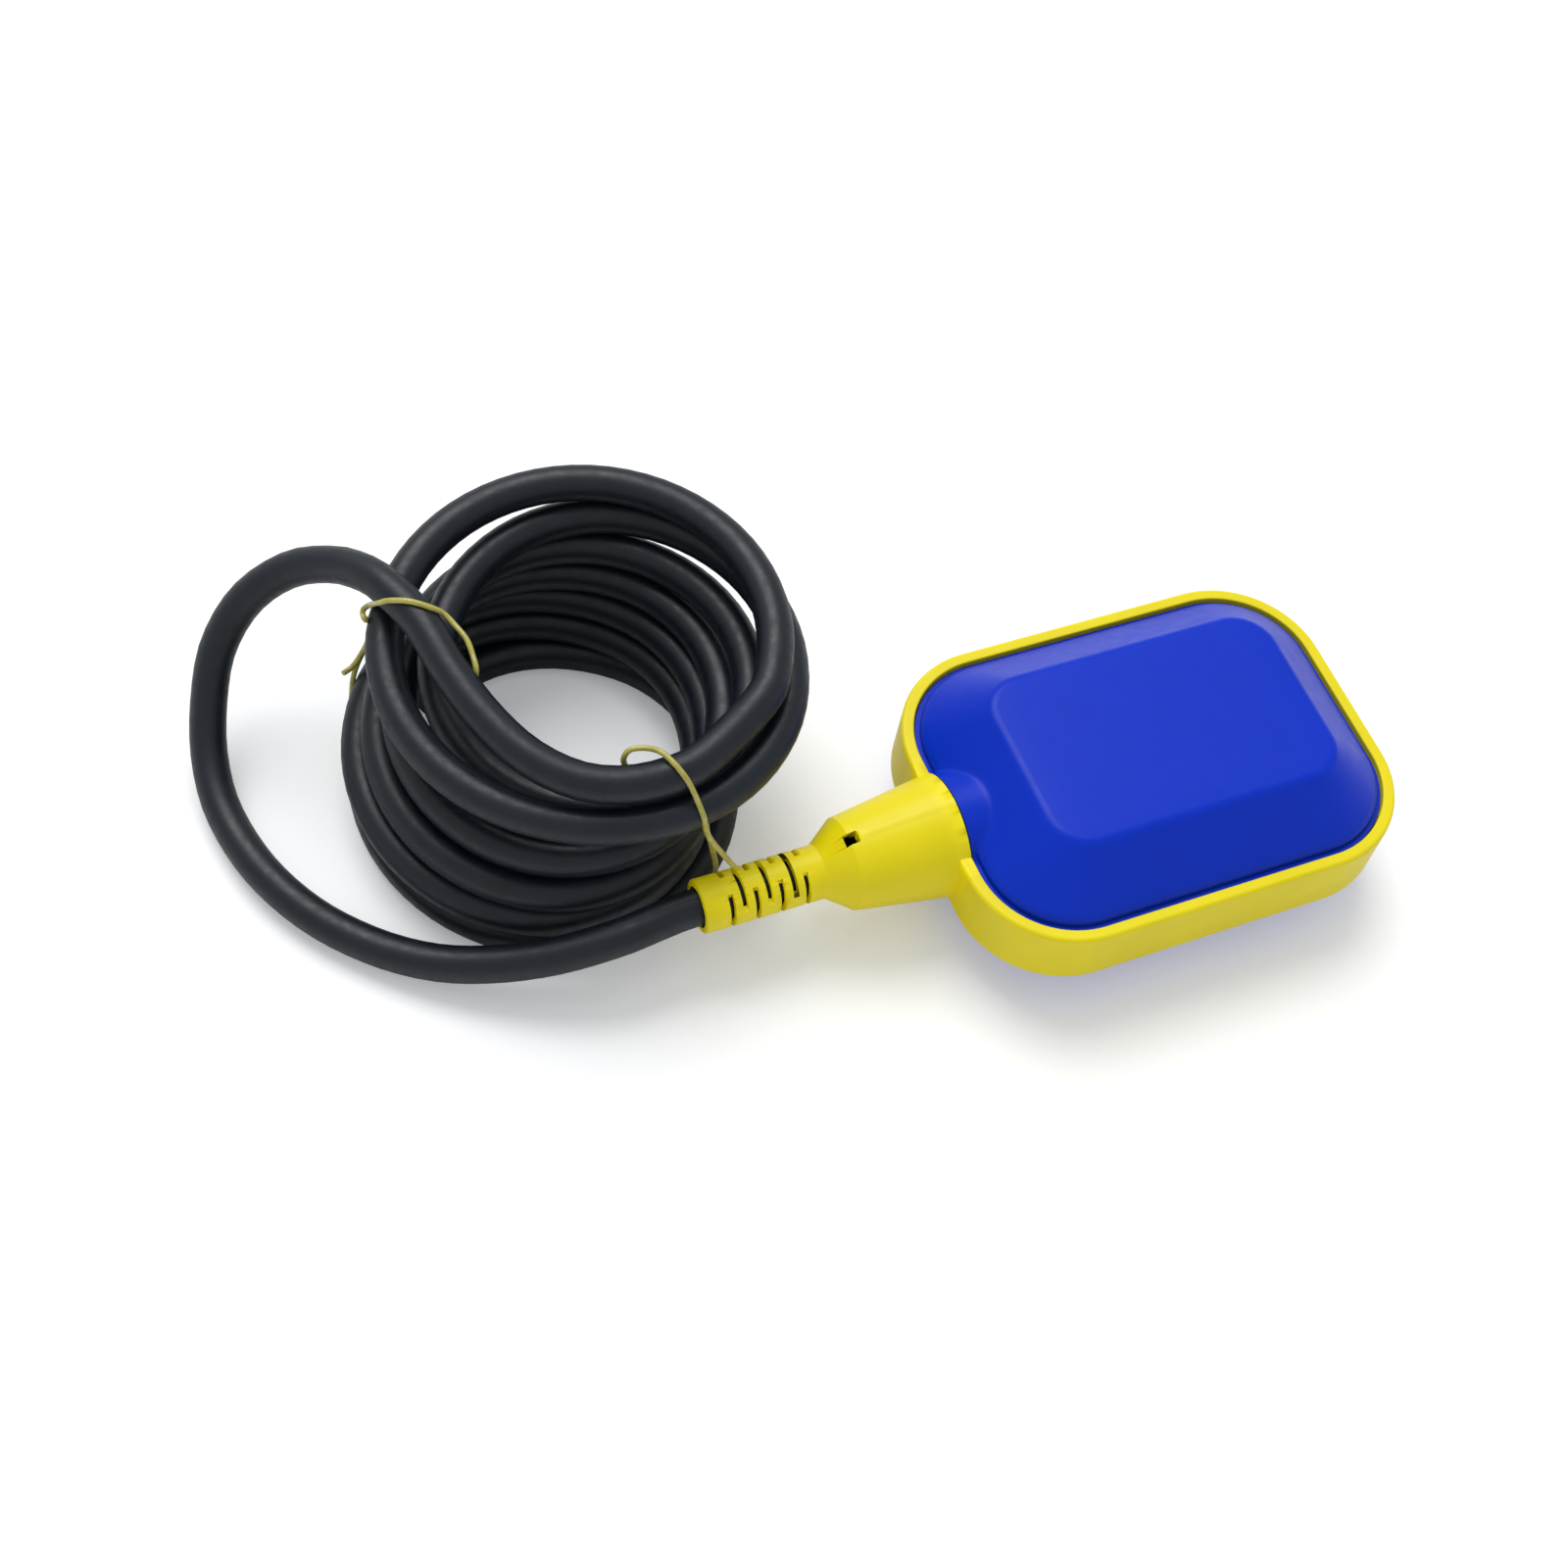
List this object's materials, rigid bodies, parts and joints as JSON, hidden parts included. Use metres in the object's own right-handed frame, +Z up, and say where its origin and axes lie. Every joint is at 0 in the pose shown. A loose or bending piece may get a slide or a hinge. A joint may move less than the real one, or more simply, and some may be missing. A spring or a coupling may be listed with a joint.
{
  "type": "cable float switch",
  "caption": "Rounded blue and yellow float with a slotted cable relief, its cable tied in a flat-standing coil beside it.",
  "frame": {"origin": "on the floor, under the middle of the float and its neck and tail, cable left out", "axes": "+X runs from the bend relief along the float to its far end, so the cable leaves along -X; +Z is up, from the lower cover's flat to the upper cover's; +Y is across the float, on the side where the coil lies"},
  "size_m": [0.2607, 0.1493, 0.0633],
  "materials": {
    "yellow_plastic": "satin yellow moulding",
    "blue_plastic": "satin blue moulding with a fine texture",
    "cable_jacket": "matte black cable jacket",
    "black_rubber": "matte black rubber",
    "white_plastic": "matte white moulding",
    "lever_plastic": "smooth white moulding",
    "steel": "polished steel",
    "brass": "bright brass",
    "switch_black": "matte black moulding",
    "switch_red": "matte red moulding",
    "plunger_red": "smooth red moulding",
    "core_brown": "brown core insulation",
    "core_blue": "blue core insulation",
    "core_black": "black core insulation",
    "tie_wire": "pale yellow plastic coating on wire"
  },
  "bodies": {
    "float": {"float_frame": "yellow_plastic", "upper_cover": "blue_plastic", "lower_cover": "blue_plastic", "cable_run": "cable_jacket", "cable_coil": "cable_jacket", "wire_tie_left": "tie_wire", "wire_tie_right": "tie_wire", "cable_seal": "black_rubber", "gland_ring": "white_plastic", "cable_grommet": "black_rubber", "chamber_base": "white_plastic", "chamber_lid": "white_plastic", "chamber_seal": "black_rubber", "lid_screw_1": "steel", "lid_screw_2": "steel", "lid_screw_3": "steel", "lid_screw_4": "steel", "rocker_pin": "steel", "switch_pin_1": "steel", "switch_pin_2": "steel", "switch_case": "switch_black", "switch_cover": "switch_red", "terminal_common": "brass", "terminal_closed": "brass", "terminal_open": "brass", "core_brown": "core_brown", "core_blue": "core_blue", "core_black": "core_black"},
    "ball": {"steel_ball": "steel"},
    "lever": {"rocker_lever": "lever_plastic"},
    "plunger": {"switch_plunger": "plunger_red"}
  },
  "joints": [
    {"name": "ball_roll", "type": "slide", "parent": "float", "child": "ball", "axis": [-1, 0, 0], "range_m": [0, 0.0115]},
    {"name": "lever_tilt", "type": "hinge", "parent": "float", "child": "lever", "pos_m": [0.0299, 0, 0.016], "axis": [0, -1, 0], "range_deg": [0, 17.1]},
    {"name": "plunger_press", "type": "slide", "parent": "float", "child": "plunger", "axis": [-1, 0, 0], "range_m": [0, 0.00151]}
  ],
  "couplings": [
    {"joint": "lever_tilt", "follows": "ball_roll", "rad_per_m": 25.8},
    {"joint": "plunger_press", "follows": "ball_roll", "ratio": 0.13043}
  ]
}
